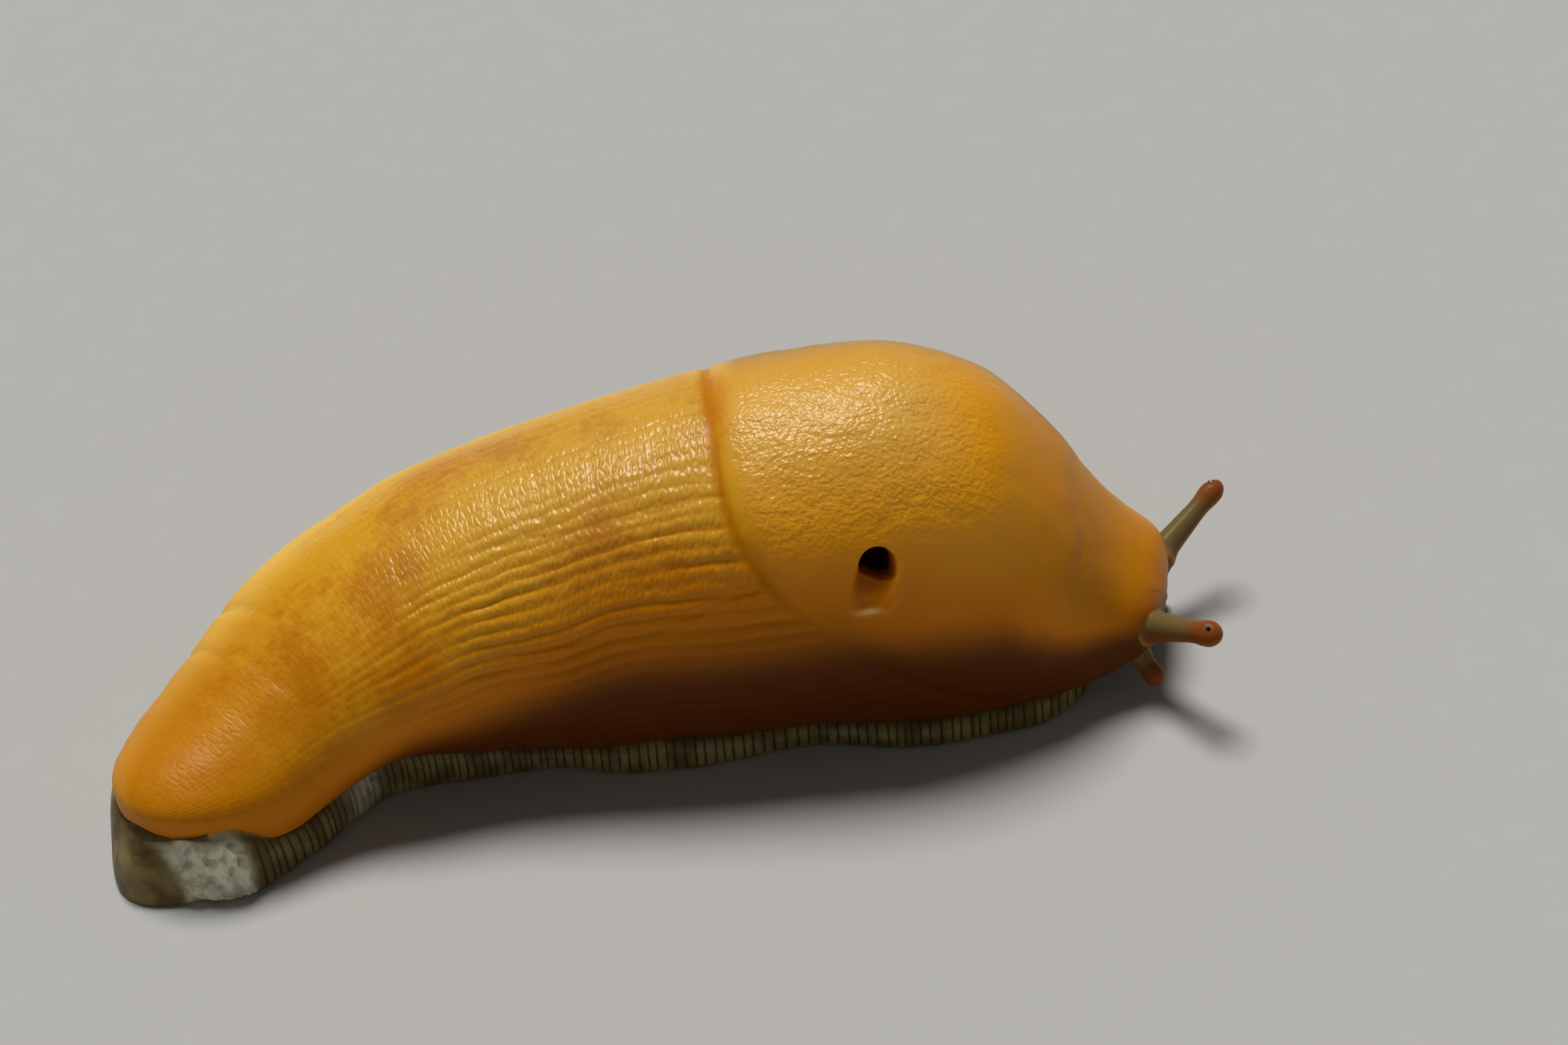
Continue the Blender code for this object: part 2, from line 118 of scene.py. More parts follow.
# Creases: (distance, degrees) of both ends, depth, half width
CREASES = (
    ((72.8, 8), (81.7, 23), 0.14, 0.35),
    ((72.6, 80), (71.6, 92), 0.15, 0.5),
    ((30, 26), (50.6, 38), 0.12, 0.3),
    ((49, 37), (62.3, 38), 0.16, 0.3),
    ((31, 70), (55.6, 77), 0.12, 0.3),
    ((54, 77), (66, 66), 0.16, 0.3),
    ((30, -30), (61, -42), 0.14, 0.3),
    ((32, -73), (63, -72), 0.14, 0.3),
    ((18.9, -100), (18.6, -22), 0.34, 0.4),
    ((18.6, -30), (20.4, 16), 0.1, 0.3),
    ((15.0, -90), (14.6, -20), 0.3, 0.4),
    ((14.6, -30), (16.0, 20), 0.1, 0.3),
    ((28.6, -70), (28.2, -20), 0.16, 0.4),
    ((40.2, 2), (40.8, 58), 0.12, 0.3),
    ((45.1, -10), (44.6, 62), 0.14, 0.3),
    ((50.2, -20), (50.6, 44), 0.12, 0.3),
    ((57.2, 0), (56.4, 36), 0.14, 0.35),
)

# Feelers. root: distance along the spine, out and up. aim: the axis in degrees outwards and up, by side.
# girth: a factor of the radius, by side. bulb: where its colour starts. eye: along the feeler, outwards and
# up. profile: distance from the root and radius, of a buried end, the collar of skin, the stalk and its bulb.
FEELERS = {
    "lower": {
        "root": (100.5, 5.4, 4.0),
        "aim": {1: (38.0, -38.0), -1: (20.0, -60.0)},
        "girth": {1: 1.0, -1: 1.0},
        "bulb": 2.6,
        "profile": ((-3.0, 0.0), (-2.9, 1.6), (-1.0, 1.7), (0.0, 1.5), (1.2, 1.05), (2.0, 0.9), (2.5, 0.98),
                    (3.1, 1.0), (3.6, 0.82), (3.9, 0.45), (3.98, 0.0)),
    },
    "upper": {
        "root": (102.75, 6.2, 7.5),
        "aim": {1: (37.0, 22.0), -1: (52.0, 24.0)},
        "girth": {1: 1.0, -1: 0.9},
        "bulb": 6.0,
        "eye": (7.36, 0.35, 0.6),
        "profile": ((-4.2, 0.0), (-4.0, 2.4), (-1.6, 2.1), (-0.4, 1.62), (0.3, 1.42), (2.4, 1.24),
                    (4.6, 1.08), (5.4, 1.1), (6.2, 1.22), (6.9, 1.24), (7.5, 1.06), (7.9, 0.76),
                    (8.15, 0.38), (8.2, 0.0)),
    },
}
LIP = (100.9, 1.6, 5.1)  # distance along the spine, out and up
LIP_HALF_SIZES = (2.1, 2.0, 1.6)

# Where the skin is smoothed at the feelers' and lips' roots: the middle, as for LIP, and how far round it
JOINS = ((FEELERS["upper"]["root"], 3.4), (FEELERS["lower"]["root"], 3.2), ((101.9, 1.6, 5.1), 3.0))

# Parts of the bake map: left, bottom, width and height. The head's are for the lip and the lower and upper
# feeler, first of the right side.
TRUNK_BAKE = (0.01, 0.01, 0.98, 0.70)
FOOT_BAKE = (0.01, 0.73, 0.98, 0.20)
HEAD_BAKES = [(left, 0.94, 0.09, 0.05) for left in (0.21, 0.11, 0.01, 0.51, 0.41, 0.31)]

# Camera: it circles the target and looks at the aim
CAMERA_TARGET = (0.0, 0.0, 14.0)
CAMERA_ELEVATION = 38.0
CAMERA_DISTANCE = 364.0
CAMERA_AIM = (11.55, 1.60, 16.04)
CAMERA_ROLL = -4.5
CAMERA_LENS = 55.0
CAMERA_SENSOR = 22.2

# Floor and its round cove, in metres, and the overhead light
FLOOR_RADIUS = 1.4
COVE_RADIUS = 2.2
LIGHT_FROM = (-0.1, 0.34, 0.94)
LIGHT_SPREAD = 24.0  # degrees of the sky that it fills

# ---- shape of the body


def smooth(start, end, x):
    t = np.clip((x - start) / (end - start), 0, 1)
    return t * t * (3 - 2 * t)


def bump(x, centre, width):
    return np.exp(-(((x - centre) / width) ** 2))


def along(points, x):
    """A smooth curve through (distance, size) points that never runs past them."""
    xs, ys = np.array(points, float).T
    steps = np.diff(xs)
    rises = np.diff(ys) / steps
    slopes = np.concatenate([rises[:1], (rises[1:] + rises[:-1]) / 2, rises[-1:]])
    for i, (before, after) in enumerate(zip(rises[:-1], rises[1:]), 1):
        limit = 3 * min(abs(before), abs(after)) if before * after > 0 else 0
        slopes[i] = np.clip(slopes[i], -limit, limit)
    x = np.clip(x, xs[0], xs[-1])
    i = np.clip(np.searchsorted(xs, x, side="right") - 1, 0, len(steps) - 1)
    t = (x - xs[i]) / steps[i]
    start = ys[i] * (1 + 2 * t) * (1 - t) ** 2 + steps[i] * slopes[i] * t * (1 - t) ** 2
    return start + ys[i + 1] * t * t * (3 - 2 * t) + steps[i] * slopes[i + 1] * t * t * (t - 1)


def heading(s):
    """The spine's direction in plan, in radians from +X."""
    tail = TAIL_TURN * (1 - smooth(TAIL_STRAIGHT, TAIL_BEND_END, s))
    snout = SNOUT_TURN * smooth(SNOUT_TURN_START, SNOUT_TURN_END, s)
    return np.radians(tail + HEAD_TURN * smooth(NECK, NECK_END, s) + snout)


SPINE_S = np.linspace(TAIL_END - 10, SNOUT + 10, 1200)
SPINE_STEP = SPINE_S[1] - SPINE_S[0]
SPINE_TURN = heading(SPINE_S - SPINE_STEP / 2)
SPINE_X = np.cumsum(np.cos(SPINE_TURN)) * SPINE_STEP
SPINE_Y = np.cumsum(np.sin(SPINE_TURN)) * SPINE_STEP
SPINE_X -= np.interp(MIDDLE, SPINE_S, SPINE_X)
SPINE_Y -= np.interp(MIDDLE, SPINE_S, SPINE_Y)


def place(s, out, height):
    """Points by distance along the spine, distance to the slug's right and height."""
    turn = heading(s)
    x = np.interp(s, SPINE_S, SPINE_X) + out * np.sin(turn)
    y = np.interp(s, SPINE_S, SPINE_Y) - out * np.cos(turn)
    return np.stack(np.broadcast_arrays(x, y, height), axis=-1)


def beside(spot, side):
    """The place of a (distance, out, height) on the right side, 1, or the left, -1."""
    return place(spot[0], side * spot[1], spot[2])


def rounding(s, rear, front, rear_length, front_length, bluntness=2.0):
    """1 along the body, falling to 0 in a rounded end at each end."""
    tail = np.clip((rear + rear_length - s) / rear_length, 0, 1)
    head = np.clip((s - front + front_length) / front_length, 0, 1)
    return (1 - tail**2) ** 0.5 * (1 - head**bluntness) ** (1 / bluntness)


def body_rounding(s):
    return rounding(s, TAIL_END, SNOUT, TAIL_ROUNDING, SNOUT_ROUNDING, SNOUT_BLUNTNESS)


def section(s, degrees):
    """(out, height) on the yellow skin, for arrays of distances and degrees."""
    low = along(GROOVE_HEIGHT, s)
    back = along(BACK_HEIGHT, s)
    middle = low + WIDEST * (back - low)
    k = body_rounding(s)
    half = along(HALF_WIDTH, s) * k
    groove = along(GROOVE_HALF, s) * k
    angle = np.abs(degrees) * pi / 180
    upper = angle <= pi / 2
    out = np.where(upper, half * np.sin(angle), groove + (half - groove) * np.cos(angle - pi / 2))
    height_up = middle + (back - middle) * k * np.cos(angle)
    height_down = middle - (middle - low) * k**UNDERSIDE_BLUNTNESS * np.sin(angle - pi / 2)
    return np.where(degrees >= 0, out, -out), np.where(upper, height_up, height_down)


def skin_point(s, degrees):
    return place(s, *section(s, degrees))


def skin_frame(s, degrees):
    """A point on the skin with unit vectors along the body, down round it and outwards."""
    point = skin_point(s, degrees)
    ahead = skin_point(s + 0.5, degrees) - point
    down = skin_point(s, degrees + 2) - point
    ahead, down = ahead / np.linalg.norm(ahead), down / np.linalg.norm(down)
    outward = np.cross(down, ahead)
    outward /= np.linalg.norm(outward)
    return point, np.cross(outward, down), down, outward


def lumps(points, size, shift=0.0):
    """Soft random lumps of about a size in mm, from -1 to 1, at each of an array of points."""
    flat = points.reshape(-1, 3) / size + shift
    return np.array([noise.noise(p) for p in flat.tolist()]).reshape(points.shape[:-1])


def sheet_lumps(u, v, shift):
    """The same lumps over a sheet, where u and v count them along it and across."""
    return lumps(np.stack(np.broadcast_arrays(u, v, 0.0), axis=-1), 1.0, shift)


# ---- mesh helpers


MASKS = ("arc", "beaded", "ribbed", "seam", "mantle", "grained", "milky", "crest", "low", "hole", "olive",
         "fluted", "pale", "pit", "stalk", "tip")
WELD = 0.0004  # mm within which a sheet's meeting edges merge
MEND_PASSES = 6


def skin_sheet(name, points, u, v, bake_box, masks):
    """A grid primitive laid on rows and columns of points in mm and closed where its edges meet.

    u and v place the fine pattern, bake_box is the sheet's part of the bake map, OFBake, and masks holds
    each of MASKS that isn't 0 all over. u, v and the masks broadcast to the rows and columns.
    """
    shape = rows, columns = points.shape[:2]
    bpy.ops.mesh.primitive_grid_add(x_subdivisions=columns - 1, y_subdivisions=rows - 1, size=1)
    obj = bpy.context.object
    obj.name = obj.data.name = name
    mesh = obj.data
    across, up = vertex_places(obj)[:, :2].T * MM + 0.5
    column, row = np.rint(across * (columns - 1)).astype(int), np.rint(up * (rows - 1)).astype(int)
    mesh.vertices.foreach_set("co", (points[row, column] * MM).ravel())
    corner = np.zeros(len(mesh.loops), int)
    mesh.loops.foreach_get("vertex_index", corner)
    left, bottom, width, height = bake_box
    pattern = [np.broadcast_to(values, shape)[row, column] for values in (u, v)]
    maps = {"SkinMap": pattern, "OFBake": (left + width * across, bottom + height * up)}
    mesh.uv_layers.remove(mesh.uv_layers[0])
    for key, pair in maps.items():
        layer = mesh.uv_layers.new(name=key)
        layer.uv.foreach_set("vector", np.stack(pair, axis=1)[corner].ravel())
    for key, values in {**dict.fromkeys(MASKS, 0.0), **masks, "known": 1.0}.items():
        mesh.attributes.new(key, "FLOAT", "POINT")
        write_mask(obj, key, np.broadcast_to(values, shape)[row, column])
    bpy.ops.object.mode_set(mode="EDIT")
    bpy.ops.mesh.select_all(action="SELECT")
    bpy.ops.mesh.remove_doubles(threshold=WELD * MM)
    bpy.ops.mesh.normals_make_consistent(inside=False)
    leave_edit(obj)
    return obj


def join(obj, other):
    """Joins another closed mesh to obj and removes the other."""
    modifier = obj.modifiers.new("union", "BOOLEAN")
    modifier.operation = "UNION"
    modifier.object = other
    modifier.solver = "MANIFOLD"
    bpy.context.view_layer.objects.active = obj
    bpy.ops.object.modifier_apply(modifier=modifier.name)
    bpy.data.objects.remove(other)


def edit_vertices(obj, chosen):
    """Goes into edit mode with the vertices of a boolean array selected."""
    bpy.ops.object.select_all(action="DESELECT")
    bpy.context.view_layer.objects.active = obj
    obj.select_set(True)
    bpy.ops.object.mode_set(mode="EDIT")
    bpy.ops.mesh.select_mode(type="VERT")
    bpy.ops.mesh.select_all(action="DESELECT")
    bpy.ops.object.mode_set(mode="OBJECT")
    obj.data.vertices.foreach_set("select", chosen)
    bpy.ops.object.mode_set(mode="EDIT")


def leave_edit(obj):
    bpy.ops.object.mode_set(mode="OBJECT")
    obj.select_set(False)


def vertex_places(obj):
    flat = np.zeros(len(obj.data.vertices) * 3)
    obj.data.vertices.foreach_get("co", flat)
    return flat.reshape(-1, 3) / MM


def read_mask(obj, key):
    values = np.zeros(len(obj.data.vertices), np.float32)
    obj.data.attributes[key].data.foreach_get("value", values)
    return values


def write_mask(obj, key, values):
    obj.data.attributes[key].data.foreach_set("value", values.astype(np.float32))


def mend_masks(obj):
    """Gives each vertex that a Boolean made the mean masks of its known neighbours, from the outermost in."""
    ends = np.zeros(len(obj.data.edges) * 2, int)
    obj.data.edges.foreach_get("vertices", ends)
    known = read_mask(obj, "known") > 0.5
    values = np.stack([read_mask(obj, key) for key in MASKS], axis=1)
    ends = ends.reshape(-1, 2)
    ends = ends[~known[ends].all(axis=1)]
    for _ in range(MEND_PASSES):
        count, total = np.zeros(len(known)), np.zeros(values.shape)
        for vertex, neighbour in (ends.T, ends.T[::-1]):
            np.add.at(count, vertex, known[neighbour])
            np.add.at(total, vertex, values[neighbour] * known[neighbour, None])
        mended = ~known & (count > 0)
        values[mended] = total[mended] / count[mended, None]
        known = known | mended
    for key, mask in zip(MASKS, values.T):
        write_mask(obj, key, mask)
    obj.data.attributes.remove(obj.data.attributes["known"])


# ---- trunk and mantle

RIBS = 52
ROWS_PER_RIB = 5
UNDER_ROWS = 6
CELL = 0.49  # mm between the rings of the yellow body's mesh
FOLDED = (5.0, 60.0)  # where low folds cross the body
FOLD_SEED = 11


def trunk_stations(pitch):
    """Distances along the spine whose rings lie at most a pitch apart on the skin, with both ends closed."""
    turn = np.linspace(0, pi / 2, 120)
    tail = TAIL_END + TAIL_ROUNDING * (1 - np.cos(turn))
    front = SNOUT - SNOUT_ROUNDING * (1 - np.sin(turn) ** (2 / SNOUT_BLUNTNESS))
    dense = np.concatenate([tail[:-1], np.linspace(tail[-1], front[0], 1500), front[1:]])
    rings = skin_point(dense[:, None], np.arange(-170, 171, 10)[None, :])
    moves = np.linalg.norm(np.diff(rings, axis=0), axis=2).max(axis=1)
    gone = np.concatenate([[0], np.cumsum(moves)])
    return np.interp(np.linspace(0, gone[-1], round(gone[-1] / pitch) + 1), gone, dense)


def even_degrees(s, shares):
    """Degrees round the body that part each section's outline, from groove to groove, into shares."""
    fine = np.linspace(-180, 180, 361)
    out, height = section(s[:, None], fine[None, :])
    gaps = np.hypot(np.diff(out, axis=1), np.diff(height, axis=1)) + 1e-6
    lengths = np.concatenate([np.zeros((len(s), 1)), np.cumsum(gaps, axis=1)], axis=1)
    parted = [np.interp(share * length[-1], length, fine) for share, length in zip(shares.T, lengths)]
    return np.array(parted).T


def edge_distances(points, s, degrees):
    """Signed distances in mm from the mantle's rear and front edges, both positive on the mantle."""
    around = np.linspace(-MANTLE_SWEEP, MANTLE_SWEEP, 1400)
    found = []
    for edge in (MANTLE_REAR, MANTLE_FRONT):
        outline = skin_point(along(edge, np.abs(around)), around)
        tree = kdtree.KDTree(len(outline))
        for i, point in enumerate(outline):
            tree.insert(point, i)
        tree.balance()
        found.append(np.array([tree.find(p)[2] for p in points.reshape(-1, 3).tolist()]).reshape(s.shape))
    behind = s < along(MANTLE_REAR, np.abs(degrees))
    before = s > along(MANTLE_FRONT, np.abs(degrees))
    beyond = np.abs(degrees) > MANTLE_SWEEP
    rear = np.where(behind | beyond, -found[0], found[0])
    front = np.where(before | beyond, -found[1], found[1])
    return rear, front


def mantle_relief(rear, front, degrees):
    """The mantle's rounded edges, the valley behind it and the shallow step before it."""
    around = np.abs(degrees)
    inward = np.clip(np.minimum(rear / 1.4, front / 2.4), 0, 1)
    rise = MANTLE_FRONT_RISE + (MANTLE_RISE - MANTLE_FRONT_RISE) * smooth(2, 14, front) * smooth(-1, 6, rear)
    valley = (0.08 + 0.09 * smooth(80, 40, around)) * bump(rear, -0.3, 0.45)
    step = 0.1 * bump(degrees, 46, 8) * bump(front, -0.3, 0.4)
    return rise * np.sqrt(1 - (1 - inward) ** 2) - valley - step


def furrow_strength(s, row):
    """How deep each long furrow is along its way: it fades out and comes back."""
    furrow = np.rint(row / ROWS_PER_RIB)
    return np.clip(0.75 + 0.9 * sheet_lumps(s / 9, furrow * 0.9, 3.3), 0.3, 1.25)


def rib_relief(s, row, strength, depth):
    """Long low ribs with narrow furrows between them, crossed by an uneven net of finer ones."""
    furrow = np.abs(np.cos(pi * row / ROWS_PER_RIB)) ** 4
    net = sheet_lumps(s / 1.6, row / ROWS_PER_RIB / 1.2, 9.1)
    return -depth * (furrow * strength + 0.22 * bump(net, 0, 0.13) * (1 - furrow))


def crease_relief(s, degrees):
    """The named creases, and low folds across the body, each over part of its girth."""
    relief = np.zeros_like(s)
    sway = 0.5 * sheet_lumps(s / 5, degrees / 18, 4.7)
    for start, end, depth, width in CREASES:
        ahead, round_ = end[0] - start[0], (end[1] - start[1]) * DEGREE
        x, y = s - start[0] + sway, (degrees - start[1]) * DEGREE + sway
        share = np.clip((x * ahead + y * round_) / (ahead**2 + round_**2), 0, 1)
        away = np.hypot(x - share * ahead, y - share * round_)
        relief -= depth * bump(away, 0, width) * (4 * share * (1 - share)) ** 0.4
    draw = np.random.default_rng(FOLD_SEED)
    here, last = FOLDED
    while here < last:
        centre, reach = draw.uniform(-110, 110), draw.uniform(20, 50)
        depth, width = draw.uniform(0.04, 0.13), draw.uniform(0.35, 0.6)
        relief -= depth * bump(s + 2 * sway, here, width) * bump(degrees, centre, reach)
        here += draw.uniform(1.4, 3.2)
    return relief


def snout_shade(points):
    """How far places on the head, feelers or lips are painted towards a brown shade below, by their height.
    """
    return 0.95 * smooth(13.5, 5.5, points[..., 2])


def trunk_masks(s, degrees, points, rear, front):
    """Where each kind and colour of skin lies on the yellow body, with its painted light and shade."""
    around = np.abs(degrees)
    inside = np.minimum(rear, front)
    mantled, off_mantle = smooth(0.2, 3.0, inside), smooth(-0.2, -1.4, inside)
    ribbed = (0.3 + 0.7 * smooth(20, 44, around)) * (1 - 0.5 * smooth(72, 105, around)) * off_mantle
    beaded = off_mantle * (1 - 0.8 * smooth(66, 100, around)) * (1 - 0.85 * smooth(87, 93, s))
    grained = mantled * smooth(84, 48, around) * (1 - 0.8 * bump(degrees, -32, 15)) * smooth(92, 83, s)
    # milky: where a painted sheen, a paler yellow, stands for the overhead light's highlight on the back
    milky = (0.5 * mantled + 0.3 * off_mantle * smooth(22, 44, s)) * bump(degrees, 16, 26) * smooth(88, 78, s)
    # painted light along the top edge of the left side, lit from behind and above
    crest = smooth(-12, -44, degrees) * smooth(-150, -100, degrees)
    # low: painted shade, deepening the colour down the sides towards the foot as if lit only from above
    top = 34 + 13 * mantled * smooth(70, 84, s)
    low = smooth(top, 146 - 28 * smooth(28, 50, s) + 6 * mantled, around)
    low = low * (0.55 + 0.45 * smooth(8, 30, s))
    return {
        "ribbed": ribbed * (0.1 + 0.9 * smooth(14, 38, s)) * (1 - smooth(88, 94, s)),
        "beaded": beaded * (0.3 + 0.7 * smooth(18, 46, s)),
        # seam: painted shade in the valley behind the mantle's rear edge
        "seam": bump(rear, -0.3, 0.5) * smooth(96, 70, around),
        "mantle": mantled,
        "grained": grained,
        "milky": milky,
        # on the mantle it marks instead a band of painted shade along the top
        "crest": crest + mantled * (bump(degrees, -36, 22) - crest),
        "low": low + (snout_shade(points) - low) * smooth(87, 97, s),
    }


def build_trunk(settings):
    """The yellow body with its ribs, folds and mantle, as one closed mesh."""
    stations = trunk_stations(CELL)
    row, s = np.meshgrid(np.arange(RIBS * ROWS_PER_RIB + 1), stations, indexing="ij")
    share = row / row.max()
    uneven = 0.011 * sheet_lumps(s / 11, share * 9, 5.2) + 0.0034 * sheet_lumps(s / 2.6, share * 30, 2.9)
    share = share + uneven * np.sin(pi * share) * body_rounding(s)
    degrees = even_degrees(stations, share)
    points = skin_point(s, degrees)
    outward = np.cross(np.gradient(points, axis=0), np.gradient(points, axis=1))
    outward /= np.linalg.norm(outward, axis=2, keepdims=True) + 1e-9
    gaps = np.linalg.norm(np.diff(points, axis=0), axis=2)
    arc = np.concatenate([0 * s[:1], np.cumsum(gaps, axis=0)])  # mm round the body, from the groove
    rear, front = edge_distances(points, s, degrees)
    masks = trunk_masks(s, degrees, points, rear, front)
    strength = furrow_strength(s, row)

    relief = mantle_relief(rear, front, degrees)
    relief += masks["ribbed"] * rib_relief(s, row, strength, settings.rib_depth / MM)
    relief += crease_relief(s, degrees) * smooth(1, 6, s)
    relief += 0.2 * lumps(points, 7.0) + 0.06 * lumps(points, 2.6, 8.8)
    relief += masks["grained"] * (0.08 * lumps(points, 2.2, 2.2) + 0.04 * lumps(points, 1.1, 4.4))
    relief *= smooth(0.0, 0.35, body_rounding(s))
    points = points + outward * relief[..., None]

    below = np.linspace(0, 1, UNDER_ROWS + 1)[1:, None, None]
    points = np.concatenate([points, points[-1:] * (1 - below) + points[:1] * below])
    masks.update(arc=arc - arc[len(arc) // 2], ribbed=masks["ribbed"] * strength)
    closing = np.zeros((UNDER_ROWS, len(stations)))
    masks = {key: np.concatenate([values, closing]) for key, values in masks.items()}
    masks["low"][-UNDER_ROWS:] = masks["low"][-UNDER_ROWS - 1]
    v = np.arange(len(points))[:, None] / ROWS_PER_RIB
    return skin_sheet("skin", points, stations, v, TRUNK_BAKE, masks)


def hole_shape(a, b):
    """The relief of the breathing hole at mm ahead and down from it, its painted shade and depth, and its wet
    lip.

    A drop-shaped hole with its point ahead and down lies in a longer hollow, whose floor rises to a wet lip.
    """
    point = 1 + 0.22 * bump(np.arctan2(b, a - 0.1), 0.75, 0.4)
    drop = np.maximum(np.hypot((a - 0.1) / 1.6, (b + 0.1) / 1.6) / point, 1 + (b - 0.5 * a - 1.3) / 1.5)
    hollow = np.hypot((a + 0.1 + 0.22 * b) / 2.0, (b - 1.4) / 3.1)
    floor = smooth(1.08, 0.62, hollow) * (1 - 0.55 * smooth(0.8, 3.9, b))
    # lip: besides its relief, the mask for a painted highlight on the wet lip
    lip = bump(b, 4.3, 0.28) * bump(a, -1, 1.1)
    swell = 0.26 * bump(hollow, 1.24, 0.24) * smooth(-0.6, 1.4, a) * smooth(-0.5, 2, b)
    rear_dip = 0.32 * bump(a, -3.5, 1.5) * bump(b, 2.4, 2.6)
    shaft = smooth(1.12, 0.74, drop)
    relief = 0.34 * lip + swell - floor - rear_dip - HOLE_DEPTH * shaft
    # painted shade on the hollow's floor, darker at its rear and up towards the hole
    shade = 0.45 * smooth(1.0, 0.5, hollow) * smooth(4.4, 1.2, b) * (1 - 0.55 * smooth(-0.6, 1.3, a))
    return relief, np.maximum(shade, shaft), lip


def open_hole(skin):
    """Divides the skin finely round the breathing hole and sinks the hole into it."""
    centre, ahead, down, outward = skin_frame(HOLE_ALONG, HOLE_ROUND)
    edit_vertices(skin, np.linalg.norm(vertex_places(skin) - centre, axis=1) < HOLE_FINE)
    bpy.ops.mesh.subdivide(number_cuts=2)
    leave_edit(skin)
    places = vertex_places(skin)
    offset = places - centre
    near = np.linalg.norm(offset, axis=1) < HOLE_REACH
    relief, depth, lip = hole_shape(offset @ ahead, offset @ down)
    places = places + np.where(near, relief, 0)[:, None] * outward
    skin.data.vertices.foreach_set("co", (places * MM).ravel())
    # hole: painted shade in the hollow, and the hole's dark inside, partly painted shade; pale: a painted
    # highlight on the lip
    for key, value in (("hole", depth), ("pale", lip)):
        write_mask(skin, key, np.where(near, value, 0))


# ---- foot

COLUMNS_PER_FLUTE = 4
FLUTE_SEED = 5


def foot_stations(flute):
    """Distances along the spine, a few to each flute, with flutes of uneven width."""
    draw = np.random.default_rng(FLUTE_SEED)
    edges = [FOOT_REAR]
    while edges[-1] < FOOT_FRONT:
        edges.append(edges[-1] + flute * draw.uniform(0.7, 1.3))
    edges[-1] = FOOT_FRONT
    count = (len(edges) - 1) * COLUMNS_PER_FLUTE
    return np.interp(np.arange(count + 1) / COLUMNS_PER_FLUTE, np.arange(len(edges)), edges)


def build_foot(settings):
    """The foot, from inside the body over the fluted fringe to the flat sole, as one closed mesh."""
    s = foot_stations(settings.flute_width / MM)
    k = rounding(s, FOOT_REAR, FOOT_FRONT, FOOT_REAR_ROUNDING, FOOT_FRONT_ROUNDING)
    edge = along(FOOT_HALF, s) * k
    body = body_rounding(np.clip(s, TAIL_END, SNOUT))
    groove = np.clip(along(GROOVE_HALF, s) * body - GAP, 0.2 * k, 0.9 * edge)
    end = rounding(s, FOOT_REAR, FOOT_FRONT, FOOT_END_ROUNDING, FOOT_END_ROUNDING)
    top = (along(GROOVE_HEIGHT, s) - GAP) * end**0.8
    shoulder = along(SHOULDER, s) * top
    buried = 1.2 * smooth(0.8, 3.5, s) * smooth(97, 94, s)
    swell = smooth(10, 4, s) * smooth(-1.8, 1.2, s)
    groove, top = groove + COLLAR[0] * swell, top + COLLAR[1] * swell
    edge = edge + swell * np.maximum(0, groove + 0.5 - edge)
    roundness = along(FRINGE_ROUNDNESS, s)

    # Rows of its right half, as out, height and how fluted: the buried top, the fringe, its tuck and the sole
    rows = [(0, top + buried, 0), (groove * 0.6, top + buried, 0), (groove * 0.93, top + buried * 0.8, 0)]
    for angle in np.linspace(0, pi / 2, 8):
        out = groove + (edge - groove) * sin(angle) ** roundness
        rows.append((out, shoulder + (top - shoulder) * cos(angle), min(1.0, 0.3 + angle)))
    for angle in np.linspace(0, pi / 2, 4)[1:]:
        out = edge - TUCK * k * (1 - cos(angle))
        rows.append((out, shoulder * (1 - sin(angle)), 1 - 0.6 * sin(angle)))
    for share in (0.6, 0):
        rows.append(((edge - TUCK * k) * share, 0, 0))
    out, height, band = [np.array([value + 0 * s for value in values]) for values in zip(*rows)]

    fluted = band * smooth(2, 6, s)
    furrow = np.where(np.arange(len(s)) % COLUMNS_PER_FLUTE == 0, -1.0, 0.15)
    relief = fluted * furrow * settings.flute_depth / MM
    bulges = [0.3 * sheet_lumps(s / 4.1, 0, shift) for shift in (7.7, 3.2)]
    right, left = [out + (relief + band * bulge) * np.minimum(1, k * 1.3) for bulge in bulges]
    crumple = band * smooth(-0.8, 0.0, s) * smooth(4.8, 3.8, s)
    folds = sheet_lumps(s / 1.5, height / 1.5, 6.1)
    right = right + crumple * FOLD_DEPTH * (1 - 4 * np.abs(folds))
    fluted = fluted * (1 - 0.8 * crumple)
    # pale mask: the crumpled patch, pale wet skin with some painted highlight, and a painted highlight on the
    # fringe about 20 mm along
    pale_and_glint = crumple + 0.45 * band * bump(s, 20.0, 2.2)

    def all_round(right, left):
        """Rows down the right half, up the left one and back to the first."""
        return np.concatenate([right, left[-2:0:-1], right[:1]])

    height = all_round(height, height)
    points = place(s[None, :], all_round(right, -left), height)
    points[..., 2] = np.maximum(points[..., 2], 0)
    masks = {
        "olive": 1.0,
        "fluted": all_round(fluted, fluted),
        "pale": all_round(pale_and_glint, 0 * pale_and_glint),
        "pit": smooth(-0.6, -1.8, s) * smooth(4.2, 5.6, height),
    }
    u, v = np.arange(len(s)) / COLUMNS_PER_FLUTE, np.arange(len(points))[:, None] / 2
    return skin_sheet("foot", points, u, v, FOOT_BAKE, masks)


# ---- feelers and lips

FEELER_SIDES = 28
LIP_RINGS = 20
LIP_SIDES = 32


